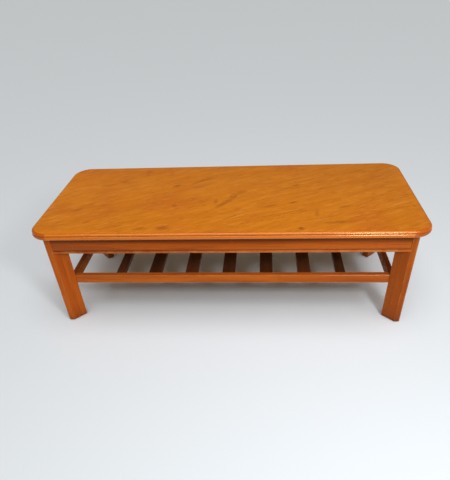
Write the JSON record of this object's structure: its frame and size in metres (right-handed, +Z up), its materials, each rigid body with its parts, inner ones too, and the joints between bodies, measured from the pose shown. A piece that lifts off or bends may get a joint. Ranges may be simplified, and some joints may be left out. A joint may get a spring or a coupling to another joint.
{
  "type": "coffee table",
  "caption": "Low rectangular wooden coffee table with a round-cornered veneered top, diagonal plank legs, beaded aprons and a slatted shelf.",
  "frame": {"origin": "on the floor, under the middle of the top", "axes": "+X along the table to its right end, +Y from its front to its back, +Z up"},
  "size_m": [1.5, 0.64, 0.45],
  "materials": {
    "top_veneer": "glossy lacquer on a figured face veneer",
    "edge_lipping": "glossy lacquer on a stained moulding",
    "frame_wood": "glossy lacquer on stained straight-grained wood",
    "shelf_wood": "glossy lacquer on stained straight-grained wood",
    "core_board": "raw pressed board",
    "block_wood": "raw sawn softwood",
    "zinc_steel": "zinc plated",
    "glide_plastic": "matt moulded plastic"
  },
  "bodies": {
    "root": {"top_core": "core_board", "top_veneer": "top_veneer", "cross_batten": "block_wood", "lipping_front": "edge_lipping", "apron_front": "frame_wood", "lipping_right": "edge_lipping", "apron_right": "frame_wood", "lipping_back": "edge_lipping", "apron_back": "frame_wood", "lipping_left": "edge_lipping", "apron_left": "frame_wood", "lipping_corners": "edge_lipping", "leg_front_left": "frame_wood", "corner_block_front_left": "block_wood", "leg_front_right": "frame_wood", "corner_block_front_right": "block_wood", "leg_back_right": "frame_wood", "corner_block_back_right": "block_wood", "leg_back_left": "frame_wood", "corner_block_back_left": "block_wood", "shelf_rail_front": "shelf_wood", "shelf_rail_back": "shelf_wood", "shelf_stretcher_left": "shelf_wood", "shelf_stretcher_right": "shelf_wood", "shelf_slat_1": "shelf_wood", "shelf_slat_2": "shelf_wood", "shelf_slat_3": "shelf_wood", "shelf_slat_4": "shelf_wood", "shelf_slat_5": "shelf_wood", "shelf_slat_6": "shelf_wood", "shelf_slat_7": "shelf_wood", "hanger_bolts": "zinc_steel", "hanger_washers": "zinc_steel", "hanger_nuts": "zinc_steel", "top_screws": "zinc_steel", "foot_glides": "glide_plastic"}
  },
  "joints": []
}
